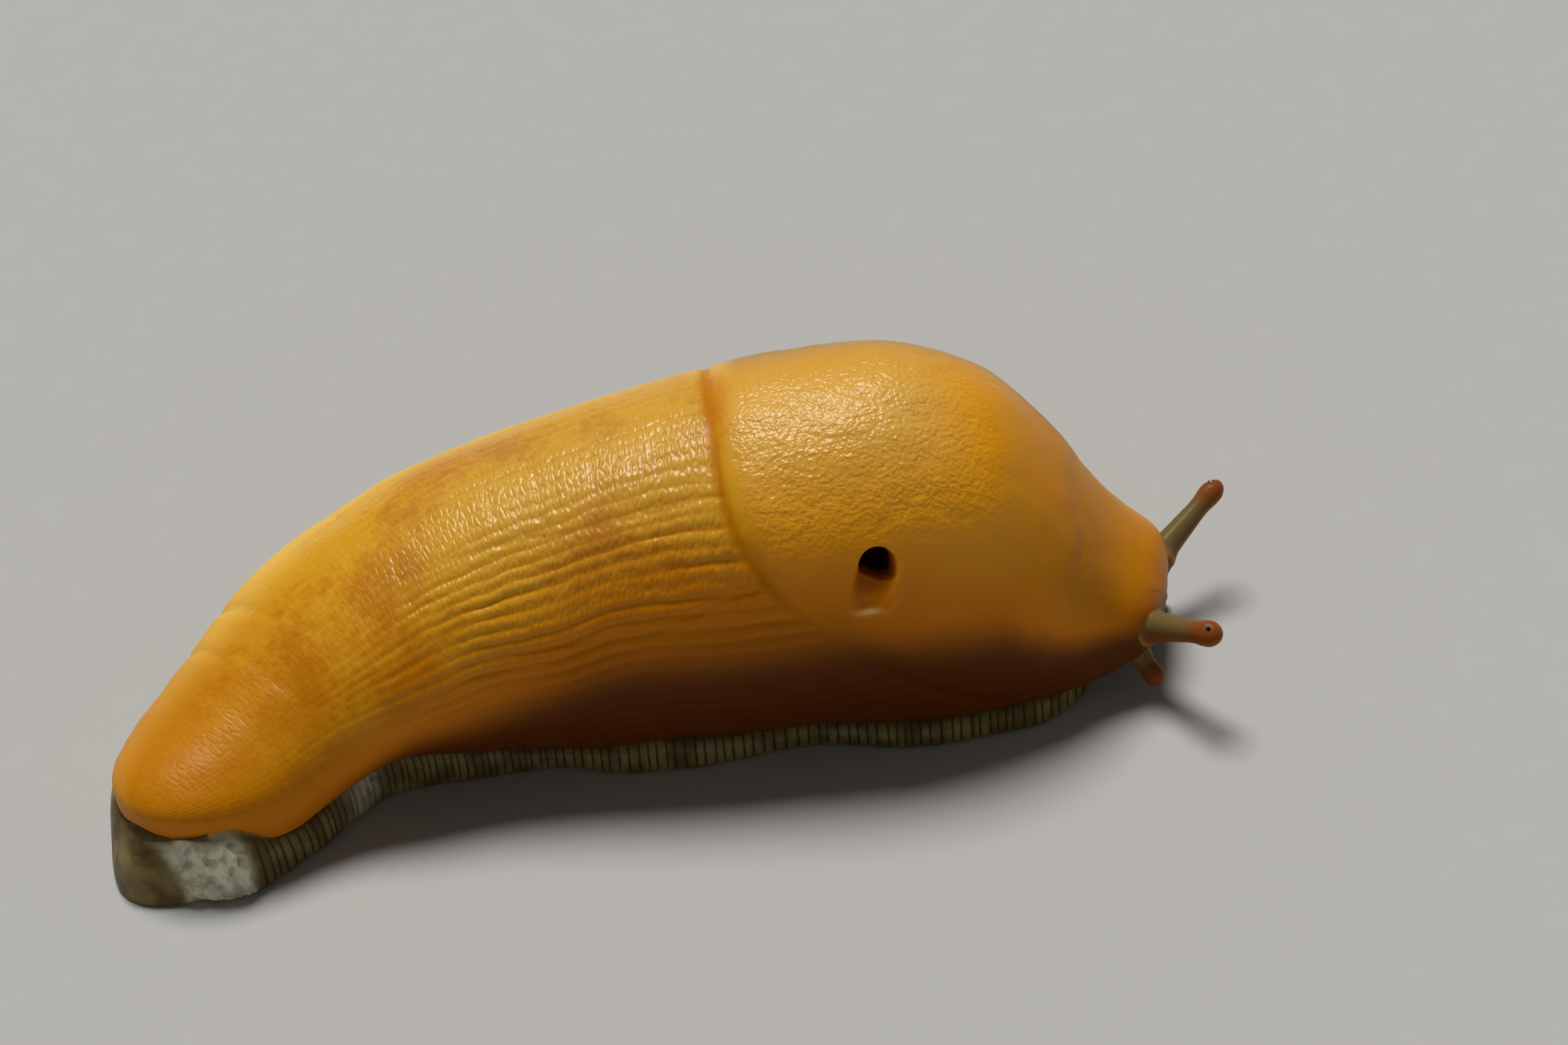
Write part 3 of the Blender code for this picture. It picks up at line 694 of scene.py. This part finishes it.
def build_feeler(name, side, bake_box):
    """A feeler with the collar of skin that it grows from, dimpled round its eye if it has one."""
    feeler = FEELERS[name]
    root = beside(feeler["root"], side)
    outwards, rise = np.radians(feeler["aim"][side])
    turn = heading(SNOUT) - side * outwards
    ahead = np.array([cos(turn) * cos(rise), sin(turn) * cos(rise), sin(rise)])
    across = np.cross(ahead, (0, 0, 1))
    across /= np.linalg.norm(across)
    up = np.cross(across, ahead)

    profile, girth = feeler["profile"], feeler["girth"][side]
    index = np.linspace(0, len(profile) - 1, 4 * len(profile))
    distance, radius = [along(list(enumerate(values)), index)[None, :] for values in zip(*profile)]
    angle = np.linspace(0, 2 * pi, FEELER_SIDES + 1)[:, None]
    spoke = np.cos(angle)[..., None] * across + np.sin(angle)[..., None] * up
    points = root + distance[..., None] * ahead + (radius * girth)[..., None] * spoke
    ring = 0.0 * angle
    if "eye" in feeler:
        forward, out, above = feeler["eye"]
        socket = points - root - forward * ahead - girth * (out * side * across + above * up)
        ring = bump(np.linalg.norm(socket, axis=-1), 0, 0.5)
        points += 0.26 * ring[..., None] * (root + ahead * forward - points)

    stalk = smooth(-1.7, -0.4, distance)
    under = smooth(0.45, -0.75, np.sin(angle)) * 0.85
    bulb = smooth(feeler["bulb"] - 2.4, feeler["bulb"] + 1.0, distance)
    masks = {
        "stalk": stalk,
        "tip": np.maximum(bulb * (0.75 + 0.25 * under), under * stalk) * stalk,
        # low: painted shade below the head, by height; on the stalk it mostly thins the film
        "low": np.maximum(snout_shade(points), 0.35 * stalk),
        "pit": 0.7 * ring,
    }
    return skin_sheet(name, points, distance, angle, bake_box, masks)


def build_lip(side, bake_box):
    """One lip: an egg of skin, most of it inside the snout."""
    turn = heading(SNOUT)
    ahead, left = np.array([cos(turn), sin(turn), 0]), np.array([-sin(turn), cos(turn), 0])
    pole = np.linspace(0, pi, LIP_RINGS + 1)[None, :, None]
    angle = np.linspace(0, 2 * pi, LIP_SIDES + 1)[:, None, None]
    points = beside(LIP, side) + LIP_HALF_SIZES[0] * np.cos(pole) * ahead
    points = points + LIP_HALF_SIZES[1] * np.sin(pole) * np.cos(angle) * left
    points = points + LIP_HALF_SIZES[2] * np.sin(pole) * np.sin(angle) * np.array([0, 0, 1])
    # low: painted shade below the head, by height
    return skin_sheet("lip", points, pole[..., 0], angle[..., 0], bake_box, {"low": snout_shade(points)})


# ---- materials

BEAD = (0.6, 1.5)  # mm along the body and round it


def linear(hex_colour):
    """Linear RGB from an sRGB hex colour."""
    channels = [int(hex_colour[i : i + 2], 16) / 255 for i in (1, 3, 5)]
    return tuple(c / 12.92 if c <= 0.04045 else ((c + 0.055) / 1.055) ** 2.4 for c in channels)


def add(material, kind, sockets=None, **settings):
    """Adds a node. A socket takes an output, a node for its first output in use, or a plain value."""
    tree = material.node_tree
    node = tree.nodes.new("ShaderNode" + kind)
    for key, value in settings.items():
        setattr(node, key, value)
    for key, value in (sockets or {}).items():
        if isinstance(value, bpy.types.Node):
            value = next(output for output in value.outputs if output.enabled)
        if isinstance(value, bpy.types.NodeSocket):
            tree.links.new(value, node.inputs[key])
        elif node.inputs[key].type == "RGBA":
            node.inputs[key].default_value = (*value[:3], 1)
        else:
            node.inputs[key].default_value = value
    return node


def new_material(name):
    material = bpy.data.materials.new(name)
    material.use_nodes = True
    material.node_tree.nodes.clear()
    return material


def skin_material(skin, foot, feeler):
    """Live slug skin: light shines a little way into it, and the film of slime on it is shiny."""
    m = new_material("slug skin, wet")
    masks = {key: add(m, "Attribute", attribute_name=key).outputs["Fac"] for key in MASKS}
    coords = add(m, "TexCoord").outputs["Object"]
    pattern = add(m, "SeparateXYZ", {0: add(m, "UVMap", uv_map="SkinMap")}).outputs

    # Noises: the size of their lumps in mm, and their detail
    noises = {
        "broad": (9.0, 2.0),
        "fine": (0.9, 3.0),
        "cloud": (2.5, 2.0),
        "patch": (1.3, 2.0),
        "grain": (0.45, 1.0),
        "pores": (0.35, 2.0),
    }
    for key, (size, detail) in noises.items():
        sockets = {"Vector": coords, "Scale": 1 / (size * MM), "Detail": detail}
        noises[key] = add(m, "TexNoise", sockets)
    mottle = add(m, "Mix", {0: 0.3, 2: noises["broad"], 3: noises["fine"]})
    from_flute, from_rib = [add(m, "Math", {0: at, 1: 0.5}, operation="PINGPONG") for at in pattern[:2]]

    # Relief too fine for the mesh: beads parted by a net of fine furrows, with wrinkles across them, the
    # mantle's grains and its slanting ridges 1.3 mm apart, and pores.
    spread = add(m, "CombineXYZ", {0: pattern[0], 1: masks["arc"]})
    cell = add(m, "VectorMath", {0: spread, 1: (*BEAD, 1.0)}, operation="DIVIDE")
    sockets = {"Vector": cell, "Scale": 1.0, "Randomness": 0.75}
    beads = add(m, "TexVoronoi", sockets, voronoi_dimensions="2D", feature="DISTANCE_TO_EDGE")
    wrinkles = add(m, "TexNoise", {"Vector": cell, "Scale": 1.6, "Detail": 1.0})
    sockets = {"Vector": spread, "Rotation": (0, 0, radians(35)), "Scale": (0.32, 0.6, 1)}
    slant = add(m, "Mapping", sockets)
    ridges = add(m, "TexNoise", {"Vector": slant, "Scale": 1.0, "Detail": 2.0, "Distortion": 0.5})
    ridges = add(m, "Math", {0: ridges, 1: 0.5}, operation="SUBTRACT")
    ridges = add(m, "Math", {0: ridges}, operation="ABSOLUTE")

    # Soft steps: what each follows, where it starts and ends, and its two levels where they aren't 0 and 1
    steps = {
        "blotch": (mottle, 0.35, 0.6),
        "tail": (pattern[0], 26.0, 5.0),
        "head": (pattern[0], 84.0, 97.0),
        # furrow: painted shade, a deeper orange in the furrows between ribs
        "furrow": (from_rib, 0.22, 0.0, 0.0, 0.7),
        # side and flank: painted shade, amber then brown down towards the foot
        "side": (masks["low"], 0.0, 0.5),
        "flank": (masks["low"], 0.4, 1.0),
        # painted shade in the hollow round the breathing hole, and its dark inside, partly painted shade
        "hollow_shade": (masks["hole"], 0.05, 0.45),
        "shaft": (masks["hole"], 0.5, 0.85),
        "cloud": (noises["cloud"], 0.35, 0.65),
        "line": (from_flute, 0.22, 0.0, 0.0, 0.9),
        "patch": (noises["patch"], 0.36, 0.56, 0.5, 1.0),
        "stalk": (masks["stalk"], 0.1, 0.6),
        "bead": (beads, 0.0, 0.3),
        "ridge": (ridges, 0.25, 0.0),
    }
    for key, values in steps.items():
        steps[key] = add(m, "MapRange", dict(enumerate(values)), interpolation_type="SMOOTHSTEP")
    ends = add(m, "Math", {0: steps["tail"], 1: steps["head"]}, operation="ADD", use_clamp=True)
    ends = add(m, "Math", {0: ends, 1: 0.8}, operation="MULTIPLY")
    sockets = {0: steps["furrow"], 1: masks["ribbed"], 2: masks["seam"]}
    furrow = add(m, "Math", sockets, operation="MULTIPLY_ADD", use_clamp=True)
    line = add(m, "Math", {0: steps["line"], 1: masks["fluted"]}, operation="MULTIPLY")
    patch = add(m, "Math", {0: steps["patch"], 1: masks["pale"]}, operation="MULTIPLY")

    height = add(m, "Math", {0: noises["pores"], 1: 0.015 * MM}, operation="MULTIPLY")
    grains = add(m, "Math", {0: steps["ridge"], 1: 0.3, 2: noises["grain"]}, operation="MULTIPLY_ADD")
    beads = add(m, "Mix", {0: 0.6, 2: steps["bead"], 3: wrinkles})
    for form, mask, depth in ((grains, masks["grained"], 0.17), (beads, masks["beaded"], 0.11)):
        scaled = add(m, "Math", {0: mask, 1: depth * MM}, operation="MULTIPLY")
        height = add(m, "Math", {0: form, 1: scaled, 2: height}, operation="MULTIPLY_ADD")
    relief = add(m, "Bump", {"Height": height, "Strength": 1.0, "Distance": 1.0})

    # Yellow: blotches of a deeper orange that join up on the tail and head, painted light along the lit top
    # edge and painted shade along the mantle's top, a painted sheen on the back, painted shade of deep orange
    # in the furrows and behind the mantle, painted shade going amber, then brown, down towards the foot,
    # painted shade in the breathing hole's hollow, its inside dark of its own and partly painted shade, and a
    # painted highlight on its lip.
    # painted shade: a darker band along the mantle's top
    mantle = add(m, "Mix", {0: masks["crest"], 6: skin.mantle, 7: skin.mantle_crest_shade}, data_type="RGBA")
    yellow = skin.orange
    for share, layer in (
        (steps["blotch"], skin.yellow),
        (masks["crest"], skin.crest),
        (masks["mantle"], mantle),
        # painted sheen on the back
        (masks["milky"], skin.sheen),
        (ends, skin.orange),
        (steps["side"], skin.side),
        (furrow, skin.furrow),
        (steps["flank"], skin.flank),
        (steps["hollow_shade"], skin.hollow),
        (steps["shaft"], skin.hole),
        # pale: a painted highlight on the breathing hole's wet lip
        (masks["pale"], skin.sheen),
    ):
        yellow = add(m, "Mix", {0: share, 6: yellow, 7: layer}, data_type="RGBA")

    # Olive: the foot, with a dark line in each furrow of its fringe, and the pale crumpled patch by the tail,
    # pale wet skin with some painted highlight, whose colour also paints a highlight on the fringe.
    olive = foot.olive
    for share, layer in ((steps["cloud"], foot.light_olive), (line, foot.line), (patch, foot.pale)):
        olive = add(m, "Mix", {0: share, 6: olive, 7: layer}, data_type="RGBA")

    # Feelers: pale at the root, grey-olive above, orange-brown below and at the bulb.
    stalk = add(m, "Mix", {0: masks["tip"], 6: feeler.stalk, 7: feeler.tip}, data_type="RGBA")
    past_root = add(m, "MapRange", {0: masks["stalk"], 1: 0.6})
    stalk = add(m, "Mix", {0: past_root, 6: feeler.root, 7: stalk}, data_type="RGBA")
    colour = yellow
    for share, layer in ((masks["olive"], olive), (steps["stalk"], stalk), (masks["pit"], foot.line)):
        colour = add(m, "Mix", {0: share, 6: colour, 7: layer}, data_type="RGBA")

    # The film of mucus is thick on the back, and thin at both ends, in the furrows, down the sides and on
    # the foot.
    roughness = add(m, "MapRange", {0: noises["fine"], 3: 0.36, 4: 0.52})
    roughness = add(m, "Mix", {0: steps["shaft"], 2: roughness, 3: 0.9})
    dry = masks["low"]
    for part, amount in ((masks["olive"], 0.45), (masks["crest"], 0.35), (furrow, 0.7), (ends, 0.75)):
        dry = add(m, "Math", {0: part, 1: amount, 2: dry}, operation="MULTIPLY_ADD")
    film = add(m, "MapRange", {0: dry, 2: 0.6, 3: 0.64, 4: 0.07})
    for share, thickness in ((steps["hollow_shade"], 0.05), (masks["pale"], 0.9), (steps["shaft"], 0.0)):
        film = add(m, "Mix", {0: share, 2: film, 3: thickness})

    sockets = {
        "Base Color": colour,
        "Roughness": roughness,
        "IOR": 1.36,
        "Specular IOR Level": 0.24,
        "Specular Tint": linear("#ffdc98"),
        "Normal": relief,
        "Coat Normal": relief,
        "Coat Weight": film,
        "Coat Roughness": 0.2,
        "Coat IOR": 1.34,
        "Subsurface Weight": 0.25,
        "Subsurface Radius": (1.0, 0.5, 0.15),
        "Subsurface Scale": 0.9 * MM,
    }
    add(m, "OutputMaterial", {"Surface": add(m, "BsdfPrincipled", sockets)})
    return m


def eye_material(settings):
    """The eye: a black bead under a clear wet cornea, so it mirrors the light sharply."""
    m = new_material("slug eye, wet black")
    coords = add(m, "TexCoord").outputs["Object"]
    cloud = add(m, "TexNoise", {"Vector": coords, "Scale": 1 / (0.2 * MM)})
    dark = add(m, "Mix", {0: cloud, 6: settings.colour, 7: linear("#16100c")}, data_type="RGBA")
    sockets = {"Base Color": dark, "Roughness": 0.08, "IOR": 1.38, "Coat Weight": 1.0, "Coat Roughness": 0.03}
    add(m, "OutputMaterial", {"Surface": add(m, "BsdfPrincipled", sockets)})
    return m


def floor_material(settings):
    """Pale matt card, with the faint unevenness of its pulp."""
    m = new_material("pale card, matt")
    coords = add(m, "TexCoord").outputs["Object"]
    pulp = add(m, "TexNoise", {"Vector": coords, "Scale": 1 / (4 * MM), "Detail": 4.0})
    darker = [c * 0.97 for c in settings.floor_colour]
    colour = add(m, "Mix", {0: pulp, 6: settings.floor_colour, 7: darker}, data_type="RGBA")
    sockets = {"Base Color": colour, "Roughness": 0.9}
    add(m, "OutputMaterial", {"Surface": add(m, "BsdfPrincipled", sockets)})
    return m


# ---- settings


def colour_property(name, hex_colour, description):
    return bpy.props.FloatVectorProperty(
        name=name, description=description, subtype="COLOR", size=3, min=0, max=1, default=linear(hex_colour)
    )


def length_property(name, size, description):
    return bpy.props.FloatProperty(
        name=name, description=description, subtype="DISTANCE", min=0, default=size * MM, precision=5
    )


class SlugSkinSettings(bpy.types.PropertyGroup):
    rib_depth: length_property("Rib depth", 0.2, "Depth of the furrows between the long ribs")
    yellow: colour_property("Yellow", "#dd9f1c", "The lighter yellow of the body")
    orange: colour_property("Orange", "#c27605", "The deeper colour of its blotches, the tail and the head")
    # Painted light: the lighter yellow along the lit top edge of the body
    crest: colour_property("Crest", "#f2c044", "The yellow along the top of the body")
    mantle: colour_property("Mantle", "#e99d0a", "The yellow of the mantle")
    # Painted sheen: the pale yellow that stands for the light's highlight on the back and the breathing
    # hole's lip
    sheen: colour_property("Sheen", "#d8ba68", "The milky yellow where mucus lies thick on the back")
    # Painted shade: the darker band along the top of the mantle
    mantle_crest_shade: colour_property("Mantle crest", "#aa7804", "The olive yellow along the top of the mantle")
    # Side and flank: painted shade, deepening the yellow to amber and then brown down towards the foot
    side: colour_property("Side", "#d07a04", "The amber of the sides")
    flank: colour_property("Flank", "#562502", "The brown down towards the foot")
    # Painted shade: the deeper orange in the furrows and behind the mantle
    furrow: colour_property("Furrow", "#c07204", "The colour in the furrows between ribs")
    # Painted shade in the hollow round the breathing hole; its inside is dark of its own and partly painted
    # shade
    hollow: colour_property("Hollow", "#a85804", "The colour in the hollow round the breathing hole")
    hole: colour_property("Breathing hole", "#2a1004", "The colour inside the breathing hole")


class SlugFootSettings(bpy.types.PropertyGroup):
    flute_width: length_property("Flute width", 0.9, "Mean width of the fringe's flutes")
    flute_depth: length_property("Flute depth", 0.18, "Depth of the furrows between flutes")
    olive: colour_property("Olive", "#5c4c2a", "The darker olive of the foot")
    light_olive: colour_property("Light olive", "#7e7048", "The lighter olive of the foot")
    line: colour_property("Line", "#2b2412", "The dark line in each furrow")
    # The crumpled patch: pale wet skin with some painted highlight; the same colour paints a highlight on the
    # fringe
    pale: colour_property("Pale patch", "#dcdac2", "The crumpled patch beside the tail")


class SlugFeelerSettings(bpy.types.PropertyGroup):
    root: colour_property("Root", "#a07a38", "The pale ring at the feelers' roots")
    stalk: colour_property("Stalk", "#6c5c36", "The feelers' stalks")
    tip: colour_property("Tip", "#8e3e04", "The feelers' bulbs and undersides")


class SlugEyeSettings(bpy.types.PropertyGroup):
    colour: colour_property("Eye", "#050403", "The eyes")


class SlugStageSettings(bpy.types.PropertyGroup):
    floor_colour: colour_property("Floor", "#b8b6b1", "The plain floor")
    key_strength: bpy.props.FloatProperty(
        name="Overhead light", description="Strength of the soft light from above", min=0, default=2.9
    )
    room_strength: bpy.props.FloatProperty(
        name="Room light", description="Strength of the even light all round", min=0, default=0.08
    )


# ---- operators


class SLUG_OT_trunk(bpy.types.Operator):
    """Builds the yellow body with its mantle and opens the breathing hole"""

    bl_idname = "slug.trunk"
    bl_label = "Body and mantle"

    def execute(self, context):
        open_hole(build_trunk(context.scene.slug_skin))
        return {"FINISHED"}


class SLUG_OT_foot(bpy.types.Operator):
    """Joins the fluted foot to the body"""

    bl_idname = "slug.foot"
    bl_label = "Foot"

    def execute(self, context):
        join(bpy.data.objects["skin"], build_foot(context.scene.slug_foot))
        return {"FINISHED"}


class SLUG_OT_feelers(bpy.types.Operator):
    """Joins the four feelers and the lips to the head"""

    bl_idname = "slug.feelers"
    bl_label = "Feelers and lips"

    def execute(self, context):
        skin = bpy.data.objects["skin"]
        boxes = iter(HEAD_BAKES)
        for side in (1, -1):
            join(skin, build_lip(side, next(boxes)))
            for name in FEELERS:
                join(skin, build_feeler(name, side, next(boxes)))
        return {"FINISHED"}


class SLUG_OT_skin(bpy.types.Operator):
    """Evens out the joins, gives the skin its material and puts it in the flesh solids' place"""

    bl_idname = "slug.skin"
    bl_label = "Skin finish"

    def execute(self, context):
        skin = bpy.data.objects["skin"]
        mend_masks(skin)
        places, bare = vertex_places(skin), read_mask(skin, "stalk") < 0.3
        chosen = np.zeros(len(places), bool)
        for side in (1, -1):
            for middle, reach in JOINS:
                chosen |= np.linalg.norm(places - beside(middle, side), axis=1) < reach
        edit_vertices(skin, chosen & bare)
        bpy.ops.mesh.vertices_smooth(factor=0.5, repeat=12)
        leave_edit(skin)
        skin.data.materials.clear()
        scene = context.scene
        skin.data.materials.append(skin_material(scene.slug_skin, scene.slug_foot, scene.slug_feeler))
        skin.data.shade_smooth()
        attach(skin, "root")
        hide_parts(*[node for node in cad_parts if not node.startswith("eye_")])
        return {"FINISHED"}


class SLUG_OT_eyes(bpy.types.Operator):
    """Gives the two eyes their wet black finish"""

    bl_idname = "slug.eyes"
    bl_label = "Eyes"

    def execute(self, context):
        black = eye_material(context.scene.slug_eye)
        for side in ("left", "right"):
            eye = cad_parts["eye_" + side]
            eye.data.materials.clear()
            eye.data.materials.append(black)
        return {"FINISHED"}


class SLUG_OT_stage(bpy.types.Operator):
    """Makes the floor with its round cove, the soft light and the camera"""

    bl_idname = "slug.stage"
    bl_label = "Stage"

    def execute(self, context):
        settings = context.scene.slug_stage
        bpy.ops.mesh.primitive_circle_add(vertices=96, radius=FLOOR_RADIUS, fill_type="NGON")
        floor = context.object
        floor.name = "floor"
        bpy.ops.object.mode_set(mode="EDIT")
        bpy.ops.mesh.select_mode(type="EDGE")
        bpy.ops.mesh.select_all(action="SELECT")
        bpy.ops.mesh.region_to_loop()
        radius, height = FLOOR_RADIUS, 0.0
        for angle in np.radians(np.arange(6, 55, 6)):
            wider, higher = FLOOR_RADIUS + COVE_RADIUS * sin(angle), COVE_RADIUS * (1 - cos(angle))
            bpy.ops.mesh.extrude_edges_move(TRANSFORM_OT_translate={"value": (0, 0, higher - height)})
            bpy.ops.transform.resize(value=(wider / radius, wider / radius, 1))
            radius, height = wider, higher
        leave_edit(floor)
        floor.data.shade_smooth()
        floor.data.materials.append(floor_material(settings))
        bpy.ops.object.light_add(type="SUN")
        lamp = context.object
        lamp.name = "overhead light"
        lamp.data.energy = settings.key_strength
        lamp.data.angle = radians(LIGHT_SPREAD)
        lamp.rotation_euler = Vector(LIGHT_FROM).to_track_quat("Z", "Y").to_euler()
        world = bpy.data.worlds.new("room")
        world.use_nodes = True
        background = world.node_tree.nodes["Background"]
        background.inputs["Color"].default_value = (*linear("#eceae6"), 1)
        background.inputs["Strength"].default_value = settings.room_strength
        context.scene.world = world
        context.scene.view_settings.view_transform = "Standard"
        bpy.ops.object.camera_add()
        camera = context.object
        camera.data.lens = CAMERA_LENS
        camera.data.sensor_width = CAMERA_SENSOR
        rise = radians(CAMERA_ELEVATION)
        start = Vector(CAMERA_TARGET) + Vector((0, -cos(rise), sin(rise))) * CAMERA_DISTANCE
        turn = (Vector(CAMERA_AIM) - start).to_track_quat("-Z", "Y")
        camera.location = start * MM
        camera.rotation_euler = (turn @ Euler((0, 0, radians(CAMERA_ROLL))).to_quaternion()).to_euler()
        context.scene.camera = camera
        return {"FINISHED"}


class SLUG_PT_panel(bpy.types.Panel):
    """The slug's steps and their settings"""

    bl_label = "Banana slug"
    bl_idname = "SLUG_PT_panel"
    bl_space_type = "VIEW_3D"
    bl_region_type = "UI"
    bl_category = "Slug"

    def draw(self, context):
        for key, (_, steps) in GROUPS.items():
            box = self.layout.box()
            for step in steps:
                box.operator("slug." + step)
            settings = getattr(context.scene, key)
            for name in settings.bl_rna.properties.keys():
                if name not in ("rna_type", "name"):
                    box.prop(settings, name)


# The settings and steps of each part of the panel
GROUPS = {
    "slug_skin": (SlugSkinSettings, ("trunk", "skin")),
    "slug_foot": (SlugFootSettings, ("foot",)),
    "slug_feeler": (SlugFeelerSettings, ("feelers",)),
    "slug_eye": (SlugEyeSettings, ("eyes",)),
    "slug_stage": (SlugStageSettings, ("stage",)),
}
CLASSES = (
    *(settings for settings, _ in GROUPS.values()),
    SLUG_OT_trunk,
    SLUG_OT_foot,
    SLUG_OT_feelers,
    SLUG_OT_skin,
    SLUG_OT_eyes,
    SLUG_OT_stage,
    SLUG_PT_panel,
)


def register():
    for each in CLASSES:
        bpy.utils.register_class(each)
    for key, (settings, _) in GROUPS.items():
        setattr(bpy.types.Scene, key, bpy.props.PointerProperty(type=settings))


def unregister():
    for key in GROUPS:
        delattr(bpy.types.Scene, key)
    for each in reversed(CLASSES):
        bpy.utils.unregister_class(each)


def main():
    register()
    for step in ("trunk", "foot", "feelers", "skin", "eyes", "stage"):
        getattr(bpy.ops.slug, step)()


if __name__ == "__main__":
    main()
